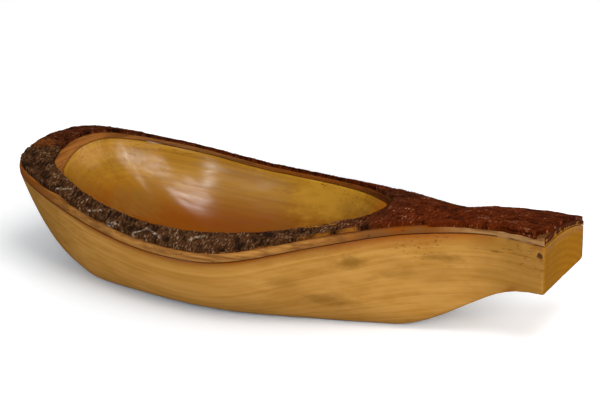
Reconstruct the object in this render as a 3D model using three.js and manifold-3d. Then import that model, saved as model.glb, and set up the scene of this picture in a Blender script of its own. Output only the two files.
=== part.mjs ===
// Live-edge fruit bowl carved from half a log, bark side up.
// Units are millimetres, +Z is up, +X points to the handle and +Y to the far side of the bowl.

import * as THREE from 'three';
import { mergeVertices } from 'three/addons/utils/BufferGeometryUtils.js';
import Module from 'manifold-3d';

// Overall size
const LENGTH = 430;
const WIDTH = 179;
const CROWN_HEIGHT = 86;

// Log surface: how far the rim drops below the crown at half the width, the flatter radius of the handle,
// how far the crown line lies to the far side at either end, and a shallow dip beside it
const RIM_DROP = 29.6;
const HANDLE_LOG_RADIUS = 190;
const CROWN_AT_BOW = 29;
const CROWN_AT_HANDLE = -31;
const DIP_DEPTH = 4;
const DIP_WIDTH = 30;

// Layers above the wood
const INNER_BARK_NEAR = 7.5;
const INNER_BARK_FAR = 4;
const OUTER_BARK = 2.5;
const LAYER_GAP = 0.35;
const BEAD = 0.5;
const BARK_SETBACK = 0.9;
const CHIP_DEPTH = 6;
const BARK_RIPPLE = 0.45;
const RIPPLE_ALONG = 30;
const RIPPLE_ASLANT = 18.5;
const RIPPLE_ACROSS = 13.5;

// Hollow: a round dish cut off above this many degrees of its curve, so that the wall leans out at the rim
const FLOOR_THICKNESS = 12;
const RIM_BEVEL = 3;
const BOW_BEVEL = 7.5;
const WALL_START = 27;

// Hull: wood left at the tip of the bow and at the handle, and the length of the sweep up to the handle
const BOW_LIP = 3;
const HANDLE_THICKNESS = 35;
const HANDLE_SWEEP = 103;
const HULL_FULLNESS = 2.15;
const BOW_FULLNESS = 1.3;

// Pin knot beside the handle end
const KNOT_RADIUS = 1.8;
const KNOT_LENGTH = 6;
const KNOT_FROM_END = 4.2;
const KNOT_BELOW_TOP = 7;
const KNOT_SUNK = 0.1;
const KNOT_SIDES = 16;

// Plan stations at the nominal size, from the near handle corner round the bow to the far one:
// outline x, y, hollow x, y, base x, y, and on the handle a point of the waist x, y that leads there
const NOMINAL_LENGTH = 430;
const NOMINAL_WIDTH = 179;
const STATIONS = [
  [212, -39.5, 85.5, -29, 98, -21.5, 143, -22],
  [170, -32.5, 81.5, -39.5, 88, -31.5, 132, -30],
  [120, -44.5, 67, -52.5, 76, -43],
  [55, -70, 31, -66, 41, -50.5],
  [-15, -88.5, -29, -72.5, -19, -58.5],
  [-85, -81, -87, -65.5, -77, -53.5],
  [-153, -58, -145, -44.5, -139, -41.5],
  [-207, -28.5, -175.5, -20.5, -160, -18],
  [-215, -17, -179.5, -8.5, -161, -3.5],
  [-207.5, 23.5, -180, 20.5, -160, 15.5],
  [-184, 70.5, -167, 55.5, -141, 40.5],
  [-123, 89.5, -123, 71.5, -87, 54.5],
  [-47, 80, -53, 62, -31, 52.5],
  [25, 61, 13, 46.5, 23, 41.5],
  [87, 31.5, 57, 22.5, 67, 26.5],
  [127, 9, 72.5, 6, 83, 12.5, 107, 7],
  [160, 8, 80, -4.5, 93, 2.5, 134, 0.5],
  [188, 26, 82.5, -10, 97, -3.5, 139.5, -4],
  [215, 40.5, 84.5, -15, 99, -9.5, 143, -10],
];
const END_STATIONS = [
  STATIONS.at(-1),
  [213.5, 0.5, 86, -22.5, 99.6, -15.5, 144, -16],
  STATIONS[0],
];

// Outer bark plates as station numbers, and the places where their outer edge is broken back:
// station, half length in stations, share of the depth
const NEAR_PLATE = [1.85, 8.33];
const FAR_PLATE = [8.36, 14.2];
const HANDLE_PLATE = [14.23, 1.82];
const CHIPS = [
  [2.85, 0.25, 0.55],
  [3.65, 0.15, 0.25],
  [6.2, 0.15, 0.3],
  [0, 0.15, 1],
];

// Where one form turns into the next, as shares of the length from the bow
const BEVEL_NARROWS = [0.06, 0.16];
const BOW_FILLS_OUT = [0.02, 0.35];
const DIP_BEGINS = [0.22, 0.42];
const DIP_ENDS = [0.82, 0.88];
const LOG_FLATTENS = [0.58, 1];
const HULL_SQUARES = [0.6, 0.88];

// Where the bark thins, as shares of the width from the middle line
const BARK_THINS = [-0.25, 0.25];

// Fineness of the surfaces
const SPAN_STEPS = 5;
const END_STEPS = 6;
const SIDE_STEPS = 5;
const HULL_STEPS = 12;
const HOLLOW_STEPS = 10;
const ACROSS = [0.25, 0.5, 0.75];

const LOG_RADIUS = ((WIDTH / 2) ** 2 + RIM_DROP ** 2) / (2 * RIM_DROP);
const SCALE_X = LENGTH / NOMINAL_LENGTH;
const SCALE_Y = WIDTH / NOMINAL_WIDTH;

function smooth([from, to], value) {
  return THREE.MathUtils.smoothstep(value, from, to);
}

// Height of the bark-covered log surface above the table
function logTop(x, y) {
  const along = x / LENGTH + 0.5;
  const crown = SCALE_Y * THREE.MathUtils.lerp(CROWN_AT_BOW, CROWN_AT_HANDLE, along);
  const radius = THREE.MathUtils.lerp(LOG_RADIUS, HANDLE_LOG_RADIUS, smooth(LOG_FLATTENS, along));
  const aside = Math.abs(y - crown);
  const dipShare = smooth(DIP_BEGINS, along) - smooth(DIP_ENDS, along);
  const dip = DIP_DEPTH * dipShare * smooth([0, DIP_WIDTH], y - crown);
  return CROWN_HEIGHT - radius + Math.sqrt(radius * radius - aside * aside) - dip;
}

// Height of the wood under both layers of bark, which are thicker on the near side
function woodTop(x, y) {
  const inner = THREE.MathUtils.lerp(INNER_BARK_NEAR, INNER_BARK_FAR, smooth(BARK_THINS, y / WIDTH));
  return logTop(x, y) - OUTER_BARK - inner;
}

// Closed ring of matching outline, hollow and base points, with the points that lead from one to the next
function planRing() {
  const round = planCurves(STATIONS);
  const end = planCurves(END_STATIONS);
  const ring = [];
  const spans = STATIONS.length - 1;
  for (let i = 0; i < spans * SPAN_STEPS; i += 1) {
    ring.push(planPoint(round, i / (spans * SPAN_STEPS), i / SPAN_STEPS));
  }
  for (let i = 0; i < END_STEPS; i += 1) {
    ring.push(planPoint(end, i / END_STEPS, spans + i / END_STEPS));
  }
  return ring;
}

function planCurves(rows) {
  const flat = (x, y) => new THREE.Vector3(x * SCALE_X, y * SCALE_Y, 0);
  const halfway = (row, i) => flat((row[0] + row[i]) / 2, (row[1] + row[i + 1]) / 2);
  const lead = (row, i) => (row.length > 6 ? flat(row[6], row[7]) : halfway(row, i));
  const curve = (make) => new THREE.CatmullRomCurve3(rows.map(make), false, 'centripetal');
  return {
    outer: curve((row) => flat(row[0], row[1])),
    hollow: curve((row) => flat(row[2], row[3])),
    base: curve((row) => flat(row[4], row[5])),
    over: curve((row) => lead(row, 2)),
    under: curve((row) => lead(row, 4)),
  };
}

function planPoint(curves, t, station) {
  const entries = Object.entries(curves).map(([name, curve]) => [name, curve.getPoint(t)]);
  return { ...Object.fromEntries(entries), station };
}

// Point on the way from one place to another by way of a third, which is half the way
function onWay(from, by, to, share) {
  return share < 0.5 ? from.clone().lerp(by, 2 * share) : by.clone().lerp(to, 2 * share - 1);
}

const PLAN = planRing();
const BASE = new THREE.Box3().setFromPoints(PLAN.map((plan) => plan.base));
const BOW_TIP = PLAN.reduce((tip, plan) => (plan.outer.x < tip.x ? plan.outer : tip), PLAN[0].outer);
const BOW_UNDERSIDE = woodTop(BOW_TIP.x, BOW_TIP.y) - BOW_LIP;
const HANDLE_UNDERSIDE = woodTop(LENGTH / 2, 0) - HANDLE_THICKNESS;

// Height of the underside: flat under the base, rising in a bow at one end and in a sweep to the handle
function keel(x) {
  const pastBase = Math.max(0, (BASE.min.x - x) / (BASE.min.x - BOW_TIP.x));
  const sweep = smooth([BASE.max.x, BASE.max.x + HANDLE_SWEEP * SCALE_X], x);
  return BOW_UNDERSIDE * pastBase ** 2 + HANDLE_UNDERSIDE * sweep;
}

// Corner of the hollow at the top of the bark, set back by the bevel
function bevelPoint(plan) {
  const away = plan.over.clone().sub(plan.hollow).normalize();
  const bow = 1 - smooth(BEVEL_NARROWS, plan.hollow.x / LENGTH + 0.5);
  const bevel = THREE.MathUtils.lerp(RIM_BEVEL, BOW_BEVEL, bow);
  return plan.hollow.clone().addScaledVector(away, bevel);
}

// Points over the rim from the outline to the edge of the hollow, with a narrow margin at either end
function acrossRim(plan, inner, height) {
  const margin = BARK_SETBACK / (2 * plan.outer.distanceTo(plan.over));
  const innerMargin = BARK_SETBACK / (2 * inner.distanceTo(plan.over));
  const shares = [0, margin, ...ACROSS, 1 - innerMargin, 1];
  return shares.map((share) => {
    const point = onWay(plan.outer, plan.over, inner, share);
    point.z = height(point.x, point.y);
    return point;
  });
}

// One line of points down the hull to the edge of the base, round at the bow and square at the handle
function hullLine(plan) {
  const top = woodTop(plan.outer.x, plan.outer.y);
  const along = plan.outer.x / LENGTH + 0.5;
  const square = smooth(HULL_SQUARES, along);
  const fullness = THREE.MathUtils.lerp(BOW_FULLNESS, HULL_FULLNESS, smooth(BOW_FILLS_OUT, along));
  const under = keel(plan.outer.x);
  const line = [];
  for (let k = 0; k <= HULL_STEPS; k += 1) {
    const angle = (k / HULL_STEPS) * Math.PI / 2;
    const roundOut = k === HULL_STEPS ? 0 : Math.cos(angle) ** (2 / fullness);
    const roundUp = 1 - Math.sin(angle) ** (2 / fullness);
    const squareOut = Math.min(1, (HULL_STEPS - k) / (HULL_STEPS - SIDE_STEPS));
    const squareUp = Math.max(0, 1 - k / SIDE_STEPS);
    const out = THREE.MathUtils.lerp(roundOut, squareOut, square);
    const up = THREE.MathUtils.lerp(roundUp, squareUp, square);
    const point = onWay(plan.base, plan.under, plan.outer, out);
    point.z = Math.min(keel(point.x), under) + (top - under) * up;
    line.push(point);
  }
  return line;
}

// One line of points down the hollow from its rim towards the middle of its floor
function hollowLine(plan, middle) {
  const top = woodTop(plan.hollow.x, plan.hollow.y);
  const start = THREE.MathUtils.degToRad(WALL_START);
  const line = [];
  for (let k = 1; k <= HOLLOW_STEPS; k += 1) {
    const angle = THREE.MathUtils.lerp(start, Math.PI / 2, k / (HOLLOW_STEPS + 1));
    const out = Math.cos(angle) / Math.cos(start);
    const up = (1 - Math.sin(angle)) / (1 - Math.sin(start));
    const point = middle.clone().lerp(plan.hollow, out);
    point.z = FLOOR_THICKNESS + (top - FLOOR_THICKNESS) * up;
    line.push(point);
  }
  return line;
}

// Mesh geometry from indexed corners, with its faces turned outwards
function solid(corners, faces) {
  let volume = 0;
  faces.forEach(([a, b, c]) => {
    volume += corners[a].dot(corners[b].clone().cross(corners[c]));
  });
  const index = faces.flatMap(([a, b, c]) => (volume > 0 ? [a, b, c] : [a, c, b]));
  const geometry = new THREE.BufferGeometry();
  const numbers = corners.flatMap((corner) => corner.toArray());
  geometry.setAttribute('position', new THREE.Float32BufferAttribute(numbers, 3));
  geometry.setIndex(index);
  geometry.computeVertexNormals();
  return geometry;
}

// Skin over lines of points standing side by side in a closed ring
// Each line ends at the two poles, or closes on itself where there are none
function ringSkin(lines, poles) {
  const rows = lines[0].length;
  const corners = lines.flat();
  const faces = [];
  const at = (line, row) => (line % lines.length) * rows + (row % rows);
  const last = poles ? rows - 1 : rows;
  for (let line = 0; line < lines.length; line += 1) {
    for (let row = 0; row < last; row += 1) {
      faces.push([at(line, row), at(line + 1, row), at(line + 1, row + 1)]);
      faces.push([at(line, row), at(line + 1, row + 1), at(line, row + 1)]);
    }
  }
  if (poles) {
    poles.forEach((pole, side) => {
      const row = side === 0 ? 0 : rows - 1;
      const hub = corners.push(pole) - 1;
      for (let line = 0; line < lines.length; line += 1) {
        const pair = [at(line, row), at(line + 1, row)];
        faces.push(side === 0 ? [hub, pair[1], pair[0]] : [hub, pair[0], pair[1]]);
      }
    });
  }
  return solid(corners, faces);
}

// Skin over an open row of slab sections, each given as matching lower and upper points
function slabSkin(sections) {
  const count = sections[0].lower.length;
  const corners = sections.flatMap((section) => [...section.lower, ...section.upper]);
  const faces = [];
  const low = (section, k) => section * 2 * count + k;
  const high = (section, k) => section * 2 * count + count + k;
  const quad = (a, b, c, d) => faces.push([a, b, c], [a, c, d]);
  for (let s = 0; s < sections.length - 1; s += 1) {
    for (let k = 0; k < count - 1; k += 1) {
      quad(low(s, k + 1), low(s, k), low(s + 1, k), low(s + 1, k + 1));
      quad(high(s, k), high(s, k + 1), high(s + 1, k + 1), high(s + 1, k));
    }
    quad(low(s, 0), high(s, 0), high(s + 1, 0), low(s + 1, 0));
    quad(low(s, count - 1), low(s + 1, count - 1), high(s + 1, count - 1), high(s, count - 1));
  }
  const end = sections.length - 1;
  for (let k = 0; k < count - 1; k += 1) {
    quad(low(0, k), low(0, k + 1), high(0, k + 1), high(0, k));
    quad(low(end, k), high(end, k), high(end, k + 1), low(end, k + 1));
  }
  return solid(corners, faces);
}

// Carved wooden body: flat base, hull, rim under the bark, hollow
function bodyGeometry() {
  const hollowMiddle = centre(PLAN.map((plan) => plan.hollow), FLOOR_THICKNESS);
  const baseMiddle = centre(PLAN.map((plan) => plan.base), 0);
  const lines = PLAN.map((plan) => {
    const hull = hullLine(plan).reverse();
    const rim = acrossRim(plan, plan.hollow, woodTop);
    return [...hull, ...rim.slice(1), ...hollowLine(plan, hollowMiddle)];
  });
  return ringSkin(lines, [baseMiddle, hollowMiddle]);
}

function centre(points, height) {
  const box = new THREE.Box3().setFromPoints(points);
  const middle = box.getCenter(new THREE.Vector3());
  middle.z = height;
  return middle;
}

// Inner bark: one ring of bast between the wood and the rough bark
function innerBarkGeometry() {
  const lines = PLAN.map((plan, i) => {
    const before = PLAN[(i + PLAN.length - 1) % PLAN.length].outer;
    const after = PLAN[(i + 1) % PLAN.length].outer;
    const outward = new THREE.Vector3(before.y - after.y, after.x - before.x, 0).normalize();
    const corner = plan.station === 0 || plan.station >= STATIONS.length - 1;
    const lower = acrossRim(plan, plan.hollow, woodTop).map((point) => raised(point, LAYER_GAP));
    const upper = innerTop(plan);
    const bead = lower[0].clone().lerp(upper[0], 0.5);
    bead.addScaledVector(outward, corner ? 0 : BEAD);
    return [...lower, ...upper.reverse(), bead];
  });
  return ringSkin(lines, null);
}

// How far the outer edge of the rough bark is broken back at a station
function chip(station) {
  const total = STATIONS.length;
  return CHIPS.reduce((deepest, [place, width, depth]) => {
    const gap = Math.abs(station - place);
    const away = Math.min(gap, total - gap);
    return Math.max(deepest, CHIP_DEPTH * depth * (1 - smooth([0, width], away)));
  }, 0);
}

// Gentle unevenness of the rough bark
function ripple(x, y) {
  const turn = 2 * Math.PI;
  const along = Math.sin((turn * (x + 0.6 * y)) / RIPPLE_ALONG);
  const aslant = Math.sin((turn * (x - 0.85 * y)) / RIPPLE_ASLANT + 1.7);
  const across = Math.sin((turn * y) / RIPPLE_ACROSS + 0.9);
  return (BARK_RIPPLE * (along + aslant + across)) / 3;
}

// Points over the top of the inner bark at one place round the rim, outer edge first
function innerTop(plan) {
  return acrossRim(plan, bevelPoint(plan), (x, y) => logTop(x, y) - OUTER_BARK - LAYER_GAP);
}

// The same points at any station number, between two neighbours of the ring
function innerTopAt(station) {
  const total = PLAN.length;
  const found = PLAN.findIndex((plan) => plan.station > station);
  const next = found < 0 ? total : found;
  const a = PLAN[next - 1];
  const b = PLAN[next % total];
  const nextStation = found < 0 ? STATIONS.length : b.station;
  const t = (station - a.station) / (nextStation - a.station);
  const ahead = innerTop(b);
  return { station, line: innerTop(a).map((point, k) => point.lerp(ahead[k], t)) };
}

// One plate of rough bark between two station numbers, going up the numbers and on past the last one
function plateGeometry([from, to]) {
  const inside = (station) => (from < to ? station > from && station < to : station > from || station < to);
  const ringPart = PLAN.filter((plan) => inside(plan.station));
  const start = from < to ? 0 : ringPart.findIndex((plan) => plan.station > from);
  const ordered = [...ringPart.slice(start), ...ringPart.slice(0, start)];
  const lines = ordered.map((plan) => ({ station: plan.station, line: innerTop(plan) }));
  const sections = [innerTopAt(from), ...lines, innerTopAt(to)].map(({ station, line }) => {
    const broken = Math.min(chip(station) / line[1].distanceTo(line[2]), 0.9);
    const seat = [line[1].clone().lerp(line[2], broken), ...line.slice(2, -1)];
    const lower = seat.map((point) => raised(point, LAYER_GAP));
    const upper = seat.map((point) => raised(point, LAYER_GAP + OUTER_BARK + ripple(point.x, point.y)));
    return { lower, upper };
  });
  return slabSkin(sections);
}

function raised(point, height) {
  return new THREE.Vector3(point.x, point.y, point.z + height);
}

// Where the pin knot shows on the near side of the handle
function knotPlace() {
  const corner = PLAN[0].outer;
  const next = PLAN[1].outer;
  const alongEdge = next.clone().sub(corner).normalize();
  const place = corner.clone().addScaledVector(alongEdge, KNOT_FROM_END);
  place.z = woodTop(place.x, place.y) - KNOT_BELOW_TOP;
  const inward = new THREE.Vector3(-alongEdge.y, alongEdge.x, 0);
  if (inward.y < 0) {
    inward.negate();
  }
  return { place, inward };
}

// Round peg lying along the knot, from a start depth to an end depth below the surface
function pegGeometry(radius, start, end) {
  const { place, inward } = knotPlace();
  const peg = new THREE.CylinderGeometry(radius, radius, end - start, KNOT_SIDES);
  const turn = new THREE.Quaternion().setFromUnitVectors(new THREE.Vector3(0, 1, 0), inward);
  peg.applyQuaternion(turn);
  const middle = place.clone().addScaledVector(inward, (start + end) / 2);
  peg.translate(middle.x, middle.y, middle.z);
  return peg;
}

const manifold = await Module();
manifold.setup();

function toManifold(geometry) {
  const bare = new THREE.BufferGeometry();
  bare.setAttribute('position', geometry.getAttribute('position'));
  bare.setIndex(geometry.getIndex());
  const merged = mergeVertices(bare, 1e-3);
  const mesh = new manifold.Mesh({
    numProp: 3,
    vertProperties: new Float32Array(merged.getAttribute('position').array),
    triVerts: new Uint32Array(merged.getIndex().array),
  });
  return new manifold.Manifold(mesh);
}

function fromManifold(shape) {
  const mesh = shape.getMesh();
  const geometry = new THREE.BufferGeometry();
  geometry.setAttribute('position', new THREE.Float32BufferAttribute(mesh.vertProperties, 3));
  geometry.setIndex(new THREE.Uint32BufferAttribute(mesh.triVerts, 1));
  geometry.computeVertexNormals();
  return geometry;
}

function cut(geometry, tool) {
  return fromManifold(manifold.Manifold.difference(toManifold(geometry), toManifold(tool)));
}

function piece(name, geometry, color, roughness) {
  const material = new THREE.MeshStandardMaterial({ color, roughness });
  material.name = `${name}_finish`;
  const mesh = new THREE.Mesh(geometry, material);
  mesh.name = name;
  return mesh;
}

const socket = pegGeometry(KNOT_RADIUS + LAYER_GAP, -KNOT_LENGTH, KNOT_LENGTH + LAYER_GAP);

const bowl = new THREE.Group();
bowl.name = 'fruit_bowl';
bowl.add(
  piece('bowl_body', cut(bodyGeometry(), socket), 0xb9822f, 0.35),
  piece('inner_bark', innerBarkGeometry(), 0x9a6236, 0.5),
  piece('outer_bark_near', plateGeometry(NEAR_PLATE), 0x54443a, 0.8),
  piece('outer_bark_far', plateGeometry(FAR_PLATE), 0x4a2a1c, 0.75),
  piece('outer_bark_handle', plateGeometry(HANDLE_PLATE), 0x5a2616, 0.7),
  piece('pin_knot', pegGeometry(KNOT_RADIUS, KNOT_SUNK, KNOT_LENGTH), 0x3c2014, 0.5),
);

export default bowl;
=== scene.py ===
"""Live-edge fruit bowl: lacquered wood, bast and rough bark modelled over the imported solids.

Lengths are in metres and angles in degrees, unless a docstring says otherwise.
"""

import logging
import math
from collections.abc import Callable, Iterable
from dataclasses import dataclass, field
from enum import Enum
from typing import Any, ClassVar

import bmesh
import bpy
from bmesh.types import BMesh, BMVert
from bpy.types import Material, Node, NodeSocket, NodeTree, Object
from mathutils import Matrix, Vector, noise


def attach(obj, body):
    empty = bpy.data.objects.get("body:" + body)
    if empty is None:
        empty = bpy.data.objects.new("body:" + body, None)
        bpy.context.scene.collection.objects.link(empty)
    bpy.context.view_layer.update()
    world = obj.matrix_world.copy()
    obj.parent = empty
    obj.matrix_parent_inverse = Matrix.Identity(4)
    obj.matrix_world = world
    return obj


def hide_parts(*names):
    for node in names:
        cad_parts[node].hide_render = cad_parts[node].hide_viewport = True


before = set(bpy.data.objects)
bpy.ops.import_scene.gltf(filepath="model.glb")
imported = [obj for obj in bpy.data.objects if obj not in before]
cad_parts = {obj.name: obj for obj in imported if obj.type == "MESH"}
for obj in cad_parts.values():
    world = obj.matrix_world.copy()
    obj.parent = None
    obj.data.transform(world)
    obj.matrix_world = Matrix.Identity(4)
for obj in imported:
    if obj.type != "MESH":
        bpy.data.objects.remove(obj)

log = logging.getLogger("fruit_bowl")

Colour = tuple[float, float, float]
Place = tuple[float, float, float]
Axes = tuple[float, float, float]
Plan = tuple[float, float]
Span = tuple[float, float]
Waves = tuple[tuple[float, float], ...]

MM = 0.001
BODY = "root"
MERGE_GAP = 0.01 * MM
OLIVE: Colour = (0.25, 0.115, 0.016)
# Numbers of a Mix node's factor and colours, whose names it gives to other sockets too.
MIX_INPUTS = (0, 6, 7)
MIX_OUTPUT = 2
# How much a face points down where an underside begins, and where it is all underside.
UNDERSIDE: Span = (0.4, 0.8)
# The way that the handle's sawn end faces, and where along it the cut begins and ends.
END_LEAN: Axes = (1.0, -0.0375, 0.0)
END_CUT: Span = (212.5 * MM, 213.1 * MM)


class LampRole(Enum):
    """What a lamp is for."""

    FILL = "fill"
    HIGHLIGHT = "highlight"


class BarkKind(Enum):
    """Which bark of the log a plate carries."""

    GREY = "grey_bark"
    RED = "red_bark"


def smoothstep(low: float, high: float, value: float) -> float:
    """Ease from 0 at low to 1 at high.

    Args:
        low: Value at which the result starts to rise.
        high: Value at which the result reaches 1.
        value: Value to ease.

    Returns:
        The eased share, from 0 to 1.
    """
    t = min(max((value - low) / (high - low), 0.0), 1.0)
    return t * t * (3 - 2 * t)


def uneven(point: Vector, waves: Waves) -> float:
    """Add up noise at a point.

    Args:
        point: The point.
        waves: Height of each noise, with the size of its waves.

    Returns:
        The sum, about 0.
    """
    return sum(height * noise.noise(point / size) for height, size in waves)


@dataclass(frozen=True)
class Cells:
    """One pattern of shader noise.

    Attributes:
        stretch: Cells to the metre along X, Y and Z.
        detail: Octaves.
        rough: Weight of the finer octaves.
        span: Values between which a mark that follows the pattern fades in.
    """

    stretch: Axes
    detail: float = 3.0
    rough: float = 0.6
    span: Span = (0.0, 1.0)


@dataclass
class NodeCanvas:
    """A node tree and the few ways in which this script adds nodes to it.

    Attributes:
        tree: Tree that the nodes go into.
    """

    tree: NodeTree

    def put(self, socket: NodeSocket, value: Any) -> None:
        """Link a socket to another one, or set its value.

        Args:
            socket: Input socket.
            value: Output socket to link, or a plain value.
        """
        if isinstance(value, NodeSocket):
            self.tree.links.new(value, socket)
        else:
            socket.default_value = value

    def fill(self, node: Node, inputs: dict[Any, Any]) -> None:
        """Fill a node's inputs, given by their names or numbers."""
        for name, value in inputs.items():
            self.put(node.inputs[name], value)

    def add(self, kind: str, inputs: dict[Any, Any] | None = None, **settings: Any) -> Node:
        """Add one node.

        Args:
            kind: Node type, without its ShaderNode prefix.
            inputs: Socket names or numbers, with what goes into each.
            settings: Properties of the node.

        Returns:
            The new node.
        """
        node = self.tree.nodes.new("ShaderNode" + kind)
        for name, value in settings.items():
            setattr(node, name, value)
        self.fill(node, inputs or {})
        return node

    def use(self, group: NodeTree, inputs: dict[str, Any]) -> Any:
        """Use a node group, fill its inputs and return its outputs."""
        return self.add("Group", inputs, node_tree=group).outputs

    def place(self) -> NodeSocket:
        """Give the coordinates of the piece."""
        return self.add("TexCoord").outputs["Object"]

    def attribute(self, name: str) -> NodeSocket:
        """Read a number stored on the mesh."""
        return self.add("Attribute", attribute_name=name).outputs["Fac"]

    def math(self, operation: str, first: Any, second: Any = 0.0, third: Any = 0.0) -> NodeSocket:
        """Add a Math node and return its value."""
        return self.add("Math", {0: first, 1: second, 2: third}, operation=operation).outputs[0]

    def measure(self, operation: str, first: Any, second: Any = (0.0, 0.0, 0.0)) -> NodeSocket:
        """Add a Vector Math node that gives a number, and return that."""
        return self.add("VectorMath", {0: first, 1: second}, operation=operation).outputs["Value"]

    def mix(self, share: Any, first: Any, second: Any) -> NodeSocket:
        """Mix two colours.

        Args:
            share: Share of the second colour.
            first: First colour or socket.
            second: Second colour or socket.

        Returns:
            The mixed colour.
        """
        node = self.add("Mix", data_type="RGBA")
        for number, value in zip(MIX_INPUTS, (share, first, second)):
            self.put(node.inputs[number], (*value, 1.0) if isinstance(value, tuple) else value)
        return node.outputs[MIX_OUTPUT]

    def ease(self, value: Any, low: float, high: float) -> NodeSocket:
        """Ease a value from 0 at low to 1 at high."""
        node = self.add("MapRange", {"Value": value, "From Min": low, "From Max": high},
                        interpolation_type="SMOOTHSTEP")
        return node.outputs["Result"]

    def noise(self, vector: Any, cells: Cells) -> NodeSocket:
        """Add noise.

        Args:
            vector: Coordinates.
            cells: Pattern of the noise.

        Returns:
            The noise, about 0.5.
        """
        scaled = self.add("Mapping", {"Vector": vector, "Scale": cells.stretch})
        node = self.add("TexNoise", {"Vector": scaled.outputs[0], "Scale": 1.0, "Detail": cells.detail,
                                     "Roughness": cells.rough})
        return node.outputs["Fac"]

    def marks(self, vector: Any, cells: Cells) -> NodeSocket:
        """Add noise that fades in over its span, from 0 to 1."""
        return self.ease(self.noise(vector, cells), *cells.span)

    def sawn_end(self, place: NodeSocket) -> NodeSocket:
        """Say how much of a point belongs to the handle's sawn end, which is not quite square."""
        return self.ease(self.measure("DOT_PRODUCT", place, END_LEAN), *END_CUT)


def new_group(name: str, inputs: dict[str, str], outputs: dict[str, str]) -> tuple[NodeCanvas, Any, Any]:
    """Start a shader node group.

    Args:
        name: Name of the group.
        inputs: Input names with their socket types.
        outputs: Output names with their socket types.

    Returns:
        The group's canvas, its input sockets and its output sockets.
    """
    tree = bpy.data.node_groups.new(name, "ShaderNodeTree")
    for label, kind in inputs.items():
        tree.interface.new_socket(label, in_out="INPUT", socket_type="NodeSocket" + kind)
    for label, kind in outputs.items():
        tree.interface.new_socket(label, in_out="OUTPUT", socket_type="NodeSocket" + kind)
    source = tree.nodes.new("NodeGroupInput")
    sink = tree.nodes.new("NodeGroupOutput")
    return NodeCanvas(tree), source.outputs, sink.inputs


def new_material(name: str) -> tuple[Material, NodeCanvas, Node]:
    """Start a material with one Principled shader.

    Args:
        name: Name of the material.

    Returns:
        The material, its canvas and its shader.
    """
    material = bpy.data.materials.new(name)
    material.use_nodes = True
    canvas = NodeCanvas(material.node_tree)
    return material, canvas, material.node_tree.nodes["Principled BSDF"]


@dataclass(frozen=True)
class Surface:
    """How a finish feels and shines.

    Attributes:
        roughness: Least roughness.
        varied: Roughness that the finish's pattern adds.
        shine: Strength of its own reflections.
        coat: Weight of the lacquer over it.
        coat_roughness: Roughness of that lacquer.
        relief: Strength of the bump.
        relief_depth: Depth of the bump.
    """

    roughness: float = 0.0
    varied: float = 1.0
    shine: float = 0.0
    coat: float = 0.0
    coat_roughness: float = 0.2
    relief: float = 0.0
    relief_depth: float = 0.5 * MM

    def dress(self, canvas: NodeCanvas, shader: Node, colour: NodeSocket, pattern: NodeSocket,
              height: NodeSocket | None = None) -> None:
        """Give a shader this surface.

        Args:
            canvas: The material's canvas.
            shader: Its shader.
            colour: Colour of the finish.
            pattern: Pattern that the roughness follows.
            height: Height of the bump, where there is one.
        """
        canvas.fill(shader, {
            "Base Color": colour,
            "Roughness": canvas.math("MULTIPLY_ADD", pattern, self.varied, self.roughness),
            "Specular IOR Level": self.shine,
            "Coat Weight": self.coat,
            "Coat Roughness": self.coat_roughness,
        })
        if height is not None:
            bump = canvas.add("Bump", {"Strength": self.relief, "Distance": self.relief_depth,
                                       "Height": height})
            canvas.put(shader.inputs["Normal"], bump.outputs["Normal"])


@dataclass(frozen=True)
class Fade:
    """A colour that fades in along the bowl.

    Attributes:
        span: Where it starts and where it is reached, along the bowl.
        colour: The colour.
    """

    span: Span
    colour: Colour


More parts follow.
